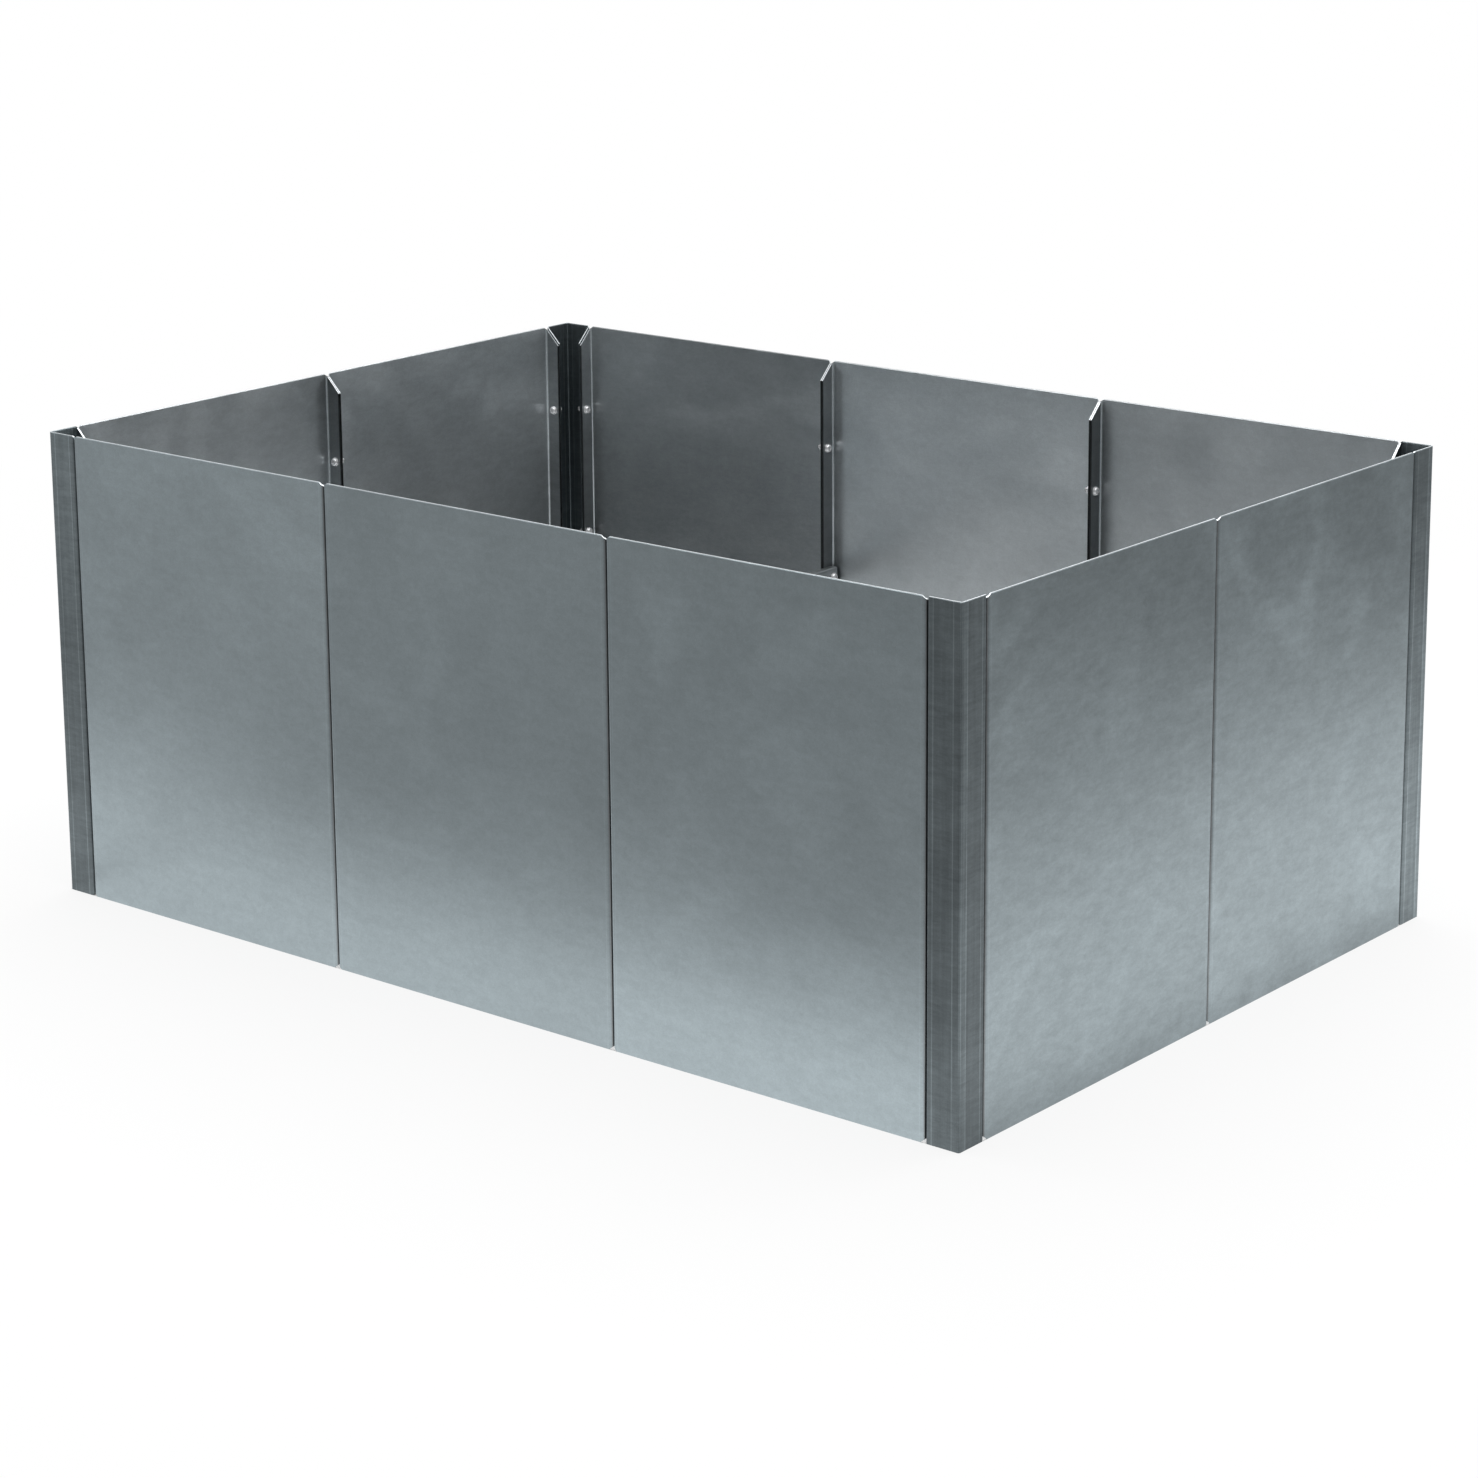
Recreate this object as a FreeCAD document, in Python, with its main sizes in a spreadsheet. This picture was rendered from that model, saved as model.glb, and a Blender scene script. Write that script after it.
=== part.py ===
import FreeCAD, Part
import math
import operator
import os
from types import SimpleNamespace

import Sketcher
from FreeCAD import Placement, Rotation, Vector

# Raised garden bed, bolted together from folded sheet steel, open at the top and the bottom.
#
# Frame: +X along the long walls to the right, +Y from the front wall to the back wall, +Z up.
# The origin lies on the ground, under the middle of the bed. All sizes are in millimetres.
#
# The walls are flat panels with a flange folded inwards at each end. Every flange is bolted to the
# flange of its neighbour, a panel or a corner post, with bolts in rows one above the other. Tie bars
# join the two long walls at half height, so that the soil can't push them apart.

# ---- sizes: each value is written here once ----

# The bed
BED_HEIGHT = 600.0          # height of the panels and the posts
MODULE_PITCH = 440.0        # length of a module, seam to seam along a wall
LONG_MODULES = 3            # length of a long wall between the posts, in modules
SHORT_MODULES = 2           # length of a short wall between the posts, in modules
POST_FACE = 45.0            # outer corner to the first seam

# Folded sheet
SHEET = 1.5                 # thickness of the panels and the posts
BEND_RADIUS = 2.0           # inner radius of the folds
SEAM_GAP = 1.0              # free space between two neighbouring flanges
FLANGE_DEPTH = 24.0         # outer face of the wall to the free edge of a flange
NOTCH_WIDTH = 5.5           # corner cut of a panel's face, along the wall
NOTCH_DROP = 4.5            # corner cut of a panel's face, along the seam
NOTCH_ROUND = 3.0           # rounding where the corner cut meets the long edge
POST_NOTCH = 2.0            # corner cut of a post's face, both ways

# Joints
BOLT_LINE = 14.0            # outer face of the wall to the bolts' axes
BOLT_ROWS = 3               # bolts in each joint, spread evenly about half height
ROW_PITCH = 180.0           # from one row of bolts to the next
HOLE_CLEARANCE = 0.6        # how much wider the holes are than the bolts

# Bolts, nuts and washers
BOLT_DIAMETER = 6.0         # shank of the bolts
HEAD_DIAMETER = 10.5        # domed head, across
HEAD_HEIGHT = 3.3           # domed head, from its seat to its top
HEAD_RIM = 0.9              # straight rim below the dome
SOCKET_WIDTH = 4.0          # hexagon socket, across its flats
SOCKET_DEPTH = 2.0          # hexagon socket, from the head's top
TIP_REACH = 3.8             # how far a bolt stands out of its nut
TIE_TIP_REACH = 2.8         # the same where the bolt also holds a tie bar
TIP_CHAMFER = 0.8           # broken edge of the bolt's tip
WASHER_DIAMETER = 12.0      # washer, across
WASHER_SHEET = 1.6          # thickness of the washers
WASHER_CLEARANCE = 0.4      # how much wider a washer's hole is than the bolt
WASHER_CHAMFER = 0.3        # broken edges of the washers
NUT_WIDTH = 10.0            # hexagon nut, across its flats
NUT_HEIGHT = 5.0            # hexagon nut
NUT_FACING = 9.4            # round end face of the nut, across

# Tie bars
TIE_HEIGHT = 25.0           # channel, from edge to edge
TIE_WIDTH = 10.0            # channel, from its back to the free edges of its legs
TIE_SHEET = 1.5             # thickness of the channel
TIE_BEND_RADIUS = 1.5       # inner radius of the channel's folds
TIE_CLEARANCE = 1.5         # end of the channel to the fold of the wall's panels

# ---- the sheet, and sizes that keep their formula ----

doc = FreeCAD.newDocument("raised_garden_bed")
table = doc.addObject("Spreadsheet::Sheet", "Sizes")
OPERATIONS = {"+": operator.add, "-": operator.sub, "*": operator.mul, "/": operator.truediv}


class Size:
    """A size with its present value and its formula on the sheet; sums of sizes keep both."""

    def __init__(self, value, formula):
        self.value = value
        self.formula = formula

    def __add__(self, other):
        return combine(self, "+", other)

    def __sub__(self, other):
        return combine(self, "-", other)

    def __mul__(self, other):
        return combine(self, "*", other)

    def __truediv__(self, other):
        return combine(self, "/", other)

    def __neg__(self):
        return combine(0, "-", self)


def combine(left, sign, right):
    left, right = [item if isinstance(item, Size) else Size(item, repr(item)) for item in (left, right)]
    value = OPERATIONS[sign](left.value, right.value)
    return Size(value, "(%s %s %s)" % (left.formula, sign, right.formula))


def on_sheet(**driving):
    """Write the driving sizes on the sheet by name, and give them back with their formulas."""
    sizes = SimpleNamespace()
    for row, (alias, value) in enumerate(driving.items(), start=1):
        table.set("A%d" % row, alias.replace("_", " "))
        table.set("B%d" % row, str(value))
        table.setAlias("B%d" % row, alias)
        setattr(sizes, alias, Size(value, "Sizes." + alias))
    doc.recompute()
    return sizes


size = on_sheet(
    bed_height=BED_HEIGHT,
    module_pitch=MODULE_PITCH,
    long_modules=LONG_MODULES,
    short_modules=SHORT_MODULES,
    post_face=POST_FACE,
    sheet=SHEET,
    bend_radius=BEND_RADIUS,
    seam_gap=SEAM_GAP,
    flange_depth=FLANGE_DEPTH,
    notch_width=NOTCH_WIDTH,
    notch_drop=NOTCH_DROP,
    notch_round=NOTCH_ROUND,
    post_notch=POST_NOTCH,
    bolt_line=BOLT_LINE,
    bolt_rows=BOLT_ROWS,
    row_pitch=ROW_PITCH,
    hole_clearance=HOLE_CLEARANCE,
    bolt_diameter=BOLT_DIAMETER,
    head_diameter=HEAD_DIAMETER,
    head_height=HEAD_HEIGHT,
    head_rim=HEAD_RIM,
    socket_width=SOCKET_WIDTH,
    socket_depth=SOCKET_DEPTH,
    tip_reach=TIP_REACH,
    tie_tip_reach=TIE_TIP_REACH,
    tip_chamfer=TIP_CHAMFER,
    washer_diameter=WASHER_DIAMETER,
    washer_sheet=WASHER_SHEET,
    washer_clearance=WASHER_CLEARANCE,
    washer_chamfer=WASHER_CHAMFER,
    nut_width=NUT_WIDTH,
    nut_height=NUT_HEIGHT,
    nut_facing=NUT_FACING,
    tie_height=TIE_HEIGHT,
    tie_width=TIE_WIDTH,
    tie_sheet=TIE_SHEET,
    tie_bend_radius=TIE_BEND_RADIUS,
    tie_clearance=TIE_CLEARANCE,
)

# ---- worked out from the sizes ----

NOTHING = Size(0, "0")
half_length = size.long_modules * size.module_pitch / 2 + size.post_face
half_depth = size.short_modules * size.module_pitch / 2 + size.post_face
long_count = round(size.long_modules.value)         # panels in a long wall, which share it evenly
short_count = round(size.short_modules.value)       # panels in a short wall
long_pitch = size.long_modules * size.module_pitch / long_count
short_pitch = size.short_modules * size.module_pitch / short_count
post_width = size.post_face - size.seam_gap / 2
inner_fold = size.sheet + size.bend_radius          # outer radius of a fold; past it the flange is flat
flange_side = size.seam_gap / 2 + size.sheet        # middle of the seam to a flange's free side
seat = flange_side + size.washer_sheet              # middle of the seam to a head or a nut
hole_radius = (size.bolt_diameter + size.hole_clearance) / 2
tie_inset = inner_fold + size.tie_clearance         # outer face of the wall to a tie bar's end
tie_length = (half_depth - tie_inset) * 2
tie_row = (size.bolt_rows.value - 1) // 2

SAME = FreeCAD.Base.Precision.approximation()       # places closer than this are the same
HEXAGON = 1 / math.sqrt(3.0)                        # centre to corner, over flat to flat
NUT_SLOPE = math.tan(math.radians(30.0))            # how the corners of a nut fall off
UP = Vector(0, 0, 1)
INWARD = Vector(0, 1, 0)
ALONG = Vector(1, 0, 0)


# ---- helpers for sketches and features ----


def bind(thing, **sizes):
    """Bind properties to the sheet; a double underscore in a name stands for a dot."""
    for path, measure in sizes.items():
        thing.setExpression(path.replace("__", "."), measure.formula)


def new_body(name):
    body = doc.addObject("PartDesign::Body", name)
    body.Label = name
    return body


def attach(thing, body, role, start):
    """Lay a sketch or a solid on one of the body's planes, moved along the plane's normal."""
    plane = next(item for item in body.Origin.OriginFeatures if item.Role == role)
    thing.AttachmentSupport = [(plane, "")]
    thing.MapMode = "FlatFace"
    bind(thing, AttachmentOffset__Base__z=start)


def new_sketch(body, name, role, start=NOTHING):
    sketch = body.newObject("Sketcher::SketchObject", body.Name + "_" + name)
    sketch.Visibility = False
    attach(sketch, body, role, start)
    return sketch


def hold_point(sketch, element, corner, spot):
    """Hold one point of a sketch at its two distances from the sketch's origin."""
    for kind, measure in zip(("DistanceX", "DistanceY"), spot):
        distance = Sketcher.Constraint(kind, -1, 1, element, corner, float(measure.value))
        index = sketch.addConstraint(distance)
        sketch.setExpression("Constraints[%d]" % index, measure.formula)


def draw_outline(sketch, spots):
    """A closed outline of straight lines from spot to spot."""
    first = sketch.GeometryCount
    points = [Vector(across.value, upward.value, 0) for across, upward in spots]
    for start, end in zip(points, points[1:] + points[:1]):
        sketch.addGeometry(Part.LineSegment(start, end), False)
    for index, spot in enumerate(spots):
        following = (index + 1) % len(spots)
        sketch.addConstraint(Sketcher.Constraint("Coincident", first + index, 2, first + following, 1))
        hold_point(sketch, first + index, 1, spot)


def draw_circle(sketch, spot, radius):
    centre = Vector(spot[0].value, spot[1].value, 0)
    element = sketch.addGeometry(Part.Circle(centre, UP, radius.value), False)
    hold_point(sketch, element, 3, spot)
    index = sketch.addConstraint(Sketcher.Constraint("Radius", element, radius.value))
    sketch.setExpression("Constraints[%d]" % index, radius.formula)


def pad(body, sketch, length, backwards=False):
    feature = body.newObject("PartDesign::Pad", sketch.Name + "_pad")
    feature.Profile = sketch
    feature.Reversed = backwards
    bind(feature, Length=length)
    sketch.recompute()
    feature.recompute()


def check_loss(feature, before):
    """Stop where a cut points away from the solid and takes nothing off it."""
    feature.recompute()
    if not feature.Shape.Volume < before - SAME:
        raise RuntimeError(feature.Name + " takes nothing away")


def cut_in(body, name, role, start, towards, depth, outlines=(), holes=()):
    """Cut outlines and bolt holes into the body from start, along +X or +Y (1) or back (-1)."""
    normal = {"YZ_Plane": 1, "XZ_Plane": -1}[role]
    sketch = new_sketch(body, name, role, start * normal)
    for spots in outlines:
        draw_outline(sketch, spots)
    for spot in holes:
        draw_circle(sketch, spot, hole_radius)
    sketch.recompute()
    before = body.Tip.Shape.Volume
    feature = body.newObject("PartDesign::Pocket", sketch.Name + "_cut")
    feature.Profile = sketch
    feature.Reversed = towards == normal
    bind(feature, Length=depth)
    check_loss(feature, before)


def dress(body, kind, name, edges, **sizes):
    """Round (Fillet) or chamfer (Chamfer) the named edges of the body."""
    if not edges:
        raise RuntimeError("%s of %s finds no edges" % (name, body.Name))
    base = body.Tip
    feature = body.newObject("PartDesign::" + kind, body.Name + "_" + name)
    feature.Base = (base, edges)
    bind(feature, **sizes)
    feature.recompute()


def straight_edges(body, direction, spots):
    """The straight edges along a direction that pass through one of the spots."""

    def flatten(point):
        return point - direction * point.dot(direction)

    places = [flatten(Vector(*[measure.value for measure in spot])) for spot in spots]
    found = []
    for index, edge in enumerate(body.Tip.Shape.Edges, start=1):
        if len(edge.Vertexes) != 2:
            continue
        start, end = [flatten(vertex.Point) for vertex in edge.Vertexes]
        if (end - start).Length < SAME and any((start - place).Length < SAME for place in places):
            found.append("Edge%d" % index)
    return found


def ring_edges(body, height, radius):
    """The circular edges about the body's Z axis at a height and with a radius."""
    found = []
    for index, edge in enumerate(body.Tip.Shape.Edges, start=1):
        curve = edge.Curve
        if curve.TypeId != "Part::GeomCircle" or abs(curve.Radius - radius.value) > SAME:
            continue
        if abs(curve.Center.z - height.value) < SAME:
            found.append("Edge%d" % index)
    return found


# ---- wall panel ----
# Own frame: the outer face lies at Y 0 and looks along -Y, X runs along the wall, and Z from the
# panel's lower edge. A flange is folded 90 degrees inwards at each end.


def row_height(row):
    """Height of a row of bolts; the rows are spread evenly about half height."""
    return size.bed_height / 2 - ((size.bolt_rows - 1) / 2 - row) * size.row_pitch


def bolt_spots():
    return [(size.bolt_line, row_height(row)) for row in range(size.bolt_rows.value)]


def flange_ends(first_drop):
    """What is cut off a flange's two ends: a slant of 45 degrees that starts at the fold.

    The cuts here and below reach one sheet past the metal.
    """
    inside = size.flange_depth + size.sheet
    last_drop = first_drop + inside - inner_fold
    upper = [
        (inner_fold, size.bed_height - first_drop),
        (inside, size.bed_height - last_drop),
        (inside, size.bed_height + size.sheet),
        (inner_fold, size.bed_height + size.sheet),
    ]
    lower = [
        (inner_fold, first_drop),
        (inside, last_drop),
        (inside, -size.sheet),
        (inner_fold, -size.sheet),
    ]
    return [upper, lower]


def face_corners(edge, side, width, drop):
    """What is nipped off a face at one upright edge, which is its low (-1) or high (1) side."""
    inner = edge - width * side
    outer = edge + size.sheet * side
    upper = [
        (inner, size.bed_height),
        (edge, size.bed_height - drop),
        (outer, size.bed_height - drop),
        (outer, size.bed_height + size.sheet),
        (inner, size.bed_height + size.sheet),
    ]
    lower = [
        (inner, NOTHING),
        (edge, drop),
        (outer, drop),
        (outer, -size.sheet),
        (inner, -size.sheet),
    ]
    return [upper, lower]


def make_panel(name, pitch):
    body = new_body(name)
    panel_width = pitch - size.seam_gap
    section = new_sketch(body, "section", "XY_Plane")
    draw_outline(section, [
        (NOTHING, NOTHING),
        (panel_width, NOTHING),
        (panel_width, size.flange_depth),
        (panel_width - size.sheet, size.flange_depth),
        (panel_width - size.sheet, size.sheet),
        (size.sheet, size.sheet),
        (size.sheet, size.flange_depth),
        (NOTHING, size.flange_depth),
    ])
    pad(body, section, size.bed_height)
    outer = [(NOTHING, NOTHING, NOTHING), (panel_width, NOTHING, NOTHING)]
    inner = [(size.sheet, size.sheet, NOTHING), (panel_width - size.sheet, size.sheet, NOTHING)]
    dress(body, "Fillet", "outer_folds", straight_edges(body, UP, outer), Radius=inner_fold)
    dress(body, "Fillet", "inner_folds", straight_edges(body, UP, inner), Radius=size.bend_radius)
    cut_in(body, "flange_ends", "YZ_Plane", NOTHING, 1, panel_width, flange_ends(size.notch_drop))
    low = face_corners(NOTHING, -1, size.notch_width, size.notch_drop)
    high = face_corners(panel_width, 1, size.notch_width, size.notch_drop)
    cut_in(body, "face_corners", "XZ_Plane", NOTHING, 1, size.flange_depth, low + high)
    turns = [(across, NOTHING, height) for across in (size.notch_width, panel_width - size.notch_width)
             for height in (NOTHING, size.bed_height)]
    dress(body, "Fillet", "corner_turns", straight_edges(body, INWARD, turns), Radius=size.notch_round)
    cut_in(body, "bolt_holes", "YZ_Plane", NOTHING, 1, panel_width, holes=bolt_spots())
    return body


# ---- corner post ----
# Own frame: the post's outer corner stands on the origin, one face runs along X and one along Y,
# and each ends in a flange that is folded back over the hollow inside the post.


def make_post(name):
    body = new_body(name)
    section = new_sketch(body, "section", "XY_Plane")
    draw_outline(section, [
        (NOTHING, NOTHING),
        (post_width, NOTHING),
        (post_width, size.flange_depth),
        (post_width - size.sheet, size.flange_depth),
        (post_width - size.sheet, size.sheet),
        (size.sheet, size.sheet),
        (size.sheet, post_width - size.sheet),
        (size.flange_depth, post_width - size.sheet),
        (size.flange_depth, post_width),
        (NOTHING, post_width),
    ])
    pad(body, section, size.bed_height)
    outer = [(NOTHING, NOTHING, NOTHING), (post_width, NOTHING, NOTHING), (NOTHING, post_width, NOTHING)]
    inner = [(size.sheet, size.sheet, NOTHING), (post_width - size.sheet, size.sheet, NOTHING),
             (size.sheet, post_width - size.sheet, NOTHING)]
    dress(body, "Fillet", "outer_folds", straight_edges(body, UP, outer), Radius=inner_fold)
    dress(body, "Fillet", "inner_folds", straight_edges(body, UP, inner), Radius=size.bend_radius)
    corners = face_corners(post_width, 1, size.post_notch, size.post_notch)
    for side, across, facing in (("x", "YZ_Plane", "XZ_Plane"), ("y", "XZ_Plane", "YZ_Plane")):
        slants = flange_ends(size.post_notch)
        cut_in(body, "flange_ends_" + side, across, post_width, -1, inner_fold, slants)
        cut_in(body, "face_corners_" + side, facing, NOTHING, 1, inner_fold, corners)
        cut_in(body, "bolt_holes_" + side, across, post_width, -1, inner_fold, holes=bolt_spots())
    return body


# ---- tie bar ----
# Own frame: the channel runs along Y from Y 0, and the free edges of its two legs lie at X 0. Its
# back, with the bolt holes, looks along +X. Z 0 is the middle of its height.


def make_tie(name):
    body = new_body(name)
    half = size.tie_height / 2
    section = new_sketch(body, "section", "XZ_Plane")
    draw_outline(section, [
        (NOTHING, half),
        (size.tie_width, half),
        (size.tie_width, -half),
        (NOTHING, -half),
        (NOTHING, size.tie_sheet - half),
        (size.tie_width - size.tie_sheet, size.tie_sheet - half),
        (size.tie_width - size.tie_sheet, half - size.tie_sheet),
        (NOTHING, half - size.tie_sheet),
    ])
    pad(body, section, tie_length, backwards=True)
    outer = [(size.tie_width, NOTHING, half), (size.tie_width, NOTHING, -half)]
    inner = [(size.tie_width - size.tie_sheet, NOTHING, half - size.tie_sheet),
             (size.tie_width - size.tie_sheet, NOTHING, size.tie_sheet - half)]
    dress(body, "Fillet", "outer_folds", straight_edges(body, INWARD, outer),
          Radius=size.tie_bend_radius + size.tie_sheet)
    dress(body, "Fillet", "inner_folds", straight_edges(body, INWARD, inner), Radius=size.tie_bend_radius)
    hole = size.bolt_line - tie_inset
    spots = [(hole, NOTHING), (tie_length - hole, NOTHING)]
    cut_in(body, "bolt_holes", "YZ_Plane", NOTHING, 1, size.tie_width, holes=spots)
    return body


# ---- bolt, nut and washer ----
# Own frame: the axis is Z, and Z 0 is the middle of the seam that the bolt goes through, with the
# head above and the nut below. Each is drawn once and then repeated at every joint.


def add_solid(body, kind, name, start, **sizes):
    """Add or cut a cylinder or a prism that stands on a level of the body."""
    feature = body.newObject("PartDesign::" + kind, body.Name + "_" + name)
    attach(feature, body, "XY_Plane", start)
    bind(feature, **sizes)
    feature.recompute()


def make_bolt(name, grip, reach):
    """A bolt with a domed head and a hexagon socket; grip is what it holds besides the flanges."""
    body = new_body(name)
    tip = -(seat + size.nut_height + reach)
    head = seat + grip
    top = head + size.head_height
    dome = size.head_height - size.head_rim
    add_solid(body, "AdditiveCylinder", "shank", tip, Radius=size.bolt_diameter / 2, Height=head - tip)
    add_solid(body, "AdditiveCylinder", "head", head,
              Radius=size.head_diameter / 2, Height=size.head_height)
    dress(body, "Fillet", "dome", ring_edges(body, top, size.head_diameter / 2), Radius=dome)
    dress(body, "Chamfer", "tip", ring_edges(body, tip, size.bolt_diameter / 2), Size=size.tip_chamfer)
    add_solid(body, "SubtractivePrism", "socket", top - size.socket_depth,
              Circumradius=size.socket_width * HEXAGON, Height=size.socket_depth)
    return body


def make_washer(name):
    body = new_body(name)
    rim = size.washer_diameter / 2
    bore = (size.bolt_diameter + size.washer_clearance) / 2
    add_solid(body, "AdditiveCylinder", "disc", flange_side, Radius=rim, Height=size.washer_sheet)
    edges = ring_edges(body, flange_side, rim) + ring_edges(body, seat, rim)
    dress(body, "Chamfer", "rim", edges, Size=size.washer_chamfer)
    add_solid(body, "SubtractiveCylinder", "bore", flange_side, Radius=bore, Height=size.washer_sheet)
    return body


def make_nut(name):
    """A hexagon nut whose corners fall off to a round face at both ends."""
    body = new_body(name)
    corner = size.nut_width * HEXAGON
    upper = -seat
    lower = upper - size.nut_height
    add_solid(body, "AdditivePrism", "hexagon", lower, Circumradius=corner, Height=size.nut_height)
    add_solid(body, "SubtractiveCylinder", "thread", lower,
              Radius=size.bolt_diameter / 2, Height=size.nut_height)
    facing = size.nut_facing / 2
    outside = corner * 2 - facing
    fall = (outside - facing) * NUT_SLOPE
    sketch = new_sketch(body, "corners", "XZ_Plane")
    draw_outline(sketch, [(facing, lower), (outside, lower + fall), (outside, lower)])
    draw_outline(sketch, [(facing, upper), (outside, upper - fall), (outside, upper)])
    sketch.recompute()
    before = body.Tip.Shape.Volume
    feature = body.newObject("PartDesign::Groove", sketch.Name + "_cut")
    feature.Profile = sketch
    feature.ReferenceAxis = (sketch, ["V_Axis"])
    feature.Angle = 360
    check_loss(feature, before)
    return body


# ---- where everything stands ----


def put(thing, x, y, z, turn):
    """Stand a piece at its place, turned about the upright axis by whole quarters."""
    thing.Placement = Placement(Vector(0, 0, 0), Rotation(UP, turn))
    bind(thing, Placement__Base__x=x, Placement__Base__y=y, Placement__Base__z=z)


def seam_place(half, pitch, index):
    """A seam's distance from the bed's middle; a wall's seams count from its low end."""
    return size.post_face + pitch * index - half


half_gap = size.seam_gap / 2
panels = []
for index in range(long_count):
    low_end = seam_place(half_length, long_pitch, index) + half_gap
    high_end = seam_place(half_length, long_pitch, index + 1) - half_gap
    front = make_panel("panel_front_%d" % (index + 1), long_pitch)
    put(front, low_end, -half_depth, NOTHING, 0)
    back = make_panel("panel_back_%d" % (index + 1), long_pitch)
    put(back, high_end, half_depth, NOTHING, 180)
    panels += [front, back]
for index in range(short_count):
    low_end = seam_place(half_depth, short_pitch, index) + half_gap
    high_end = seam_place(half_depth, short_pitch, index + 1) - half_gap
    right = make_panel("panel_right_%d" % (index + 1), short_pitch)
    put(right, half_length, low_end, NOTHING, 90)
    left = make_panel("panel_left_%d" % (index + 1), short_pitch)
    put(left, -half_length, high_end, NOTHING, 270)
    panels += [right, left]

posts = []
for corner, x, y, turn in (("front_left", -half_length, -half_depth, 0),
                           ("front_right", half_length, -half_depth, 90),
                           ("back_right", half_length, half_depth, 180),
                           ("back_left", -half_length, half_depth, 270)):
    post = make_post("corner_post_" + corner)
    put(post, x, y, NOTHING, turn)
    posts.append(post)

# The legs of each tie bar bear on the right-hand side of a pair of flanges
ties = []
for index in range(1, long_count):
    tie = make_tie("tie_bar_%d" % index)
    bearing = seam_place(half_length, long_pitch, index) + flange_side
    put(tie, bearing, tie_inset - half_depth, row_height(tie_row), 0)
    ties.append(tie)

# Every joint: its bolts' place in plan, the way that their heads look (degrees about Z from +X),
# and whether a tie bar is bolted there. At a post the heads are on the panel's side.
joints = []
for y in (size.bolt_line - half_depth, half_depth - size.bolt_line):
    for index in range(long_count + 1):
        heads = 180 if index == long_count else 0
        tied = 0 < index < long_count
        joints.append((seam_place(half_length, long_pitch, index), y, heads, tied))
for x in (size.bolt_line - half_length, half_length - size.bolt_line):
    for index in range(short_count + 1):
        heads = 90 if index == 0 else -90
        joints.append((x, seam_place(half_depth, short_pitch, index), heads, False))

# Node name: the piece that is repeated
repeated = {
    "bolts_m6x16": make_bolt("bolt_short", NOTHING, size.tip_reach),
    "bolts_m6x25": make_bolt("bolt_long", size.tie_width, size.tie_tip_reach),
    "nuts_m6": make_nut("nut"),
    "washers_m6": make_washer("washer"),
}
copies = {name: [] for name in repeated}


def repeat(name, x, y, z, heads, shift=NOTHING):
    """One more bolt, nut or washer at a joint, moved by shift towards the way that heads look."""
    link = doc.addObject("App::Link", "%s_%d" % (name, len(copies[name]) + 1))
    link.LinkedObject = repeated[name]
    direction = Rotation(UP, heads).multVec(ALONG)
    link.Placement = Placement(Vector(0, 0, 0), Rotation(UP, heads) * Rotation(INWARD, 90))
    bind(link,
         Placement__Base__x=x + shift * round(direction.x),
         Placement__Base__y=y + shift * round(direction.y),
         Placement__Base__z=z)
    copies[name].append(link)


for x, y, heads, tied in joints:
    for row in range(size.bolt_rows.value):
        holds_tie = tied and row == tie_row
        head_shift = size.tie_width if holds_tie else NOTHING
        z = row_height(row)
        repeat("bolts_m6x25" if holds_tie else "bolts_m6x16", x, y, z, heads)
        repeat("washers_m6", x, y, z, heads, head_shift)
        repeat("washers_m6", x, y, z, heads + 180)
        repeat("nuts_m6", x, y, z, heads)

groups = []
for name, links in copies.items():
    group = doc.addObject("Part::Compound", name)
    group.Label = name
    group.Links = links
    groups.append(group)
doc.recompute()

# ---- check and write ----

nodes = panels + posts + ties + groups
for thing in doc.Objects:
    if "Invalid" in thing.State or "Error" in thing.State:
        raise RuntimeError("%s is in state %s" % (thing.Name, thing.State))
for node in nodes:
    if node.Shape.isNull() or not node.Shape.isValid() or not node.Shape.Solids:
        raise RuntimeError(node.Label + " has no valid solid")

os.makedirs("parts", exist_ok=True)
for node in nodes:
    node.Shape.exportStep(os.path.join("parts", node.Label + ".step"))
    box = node.Shape.BoundBox
    print("%-24s %3d solids %10.1f mm3   x %7.1f..%6.1f   y %7.1f..%6.1f   z %6.1f..%5.1f" % (
        node.Label, len(node.Shape.Solids), node.Shape.Volume,
        box.XMin, box.XMax, box.YMin, box.YMax, box.ZMin, box.ZMax))
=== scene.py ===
# %% [markdown]
# # A raised garden bed of galvanised sheet steel
#
# This bed is bolted together from ten flat panels and four corner posts, all folded from sheet steel and dipped in
# zinc. Two tie bars cross it at half height. It has no bottom, so it stands on its lower edges.
#
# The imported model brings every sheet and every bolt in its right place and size. What is left to Blender is the
# finish of each surface, the threads of the bolts, the floor, the light and the camera. So the script begins by
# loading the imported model, and notes its outer box before anything is added.

# %% Load the bed and measure it
import math

import bmesh
import bpy
from mathutils import Matrix, Vector


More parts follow.
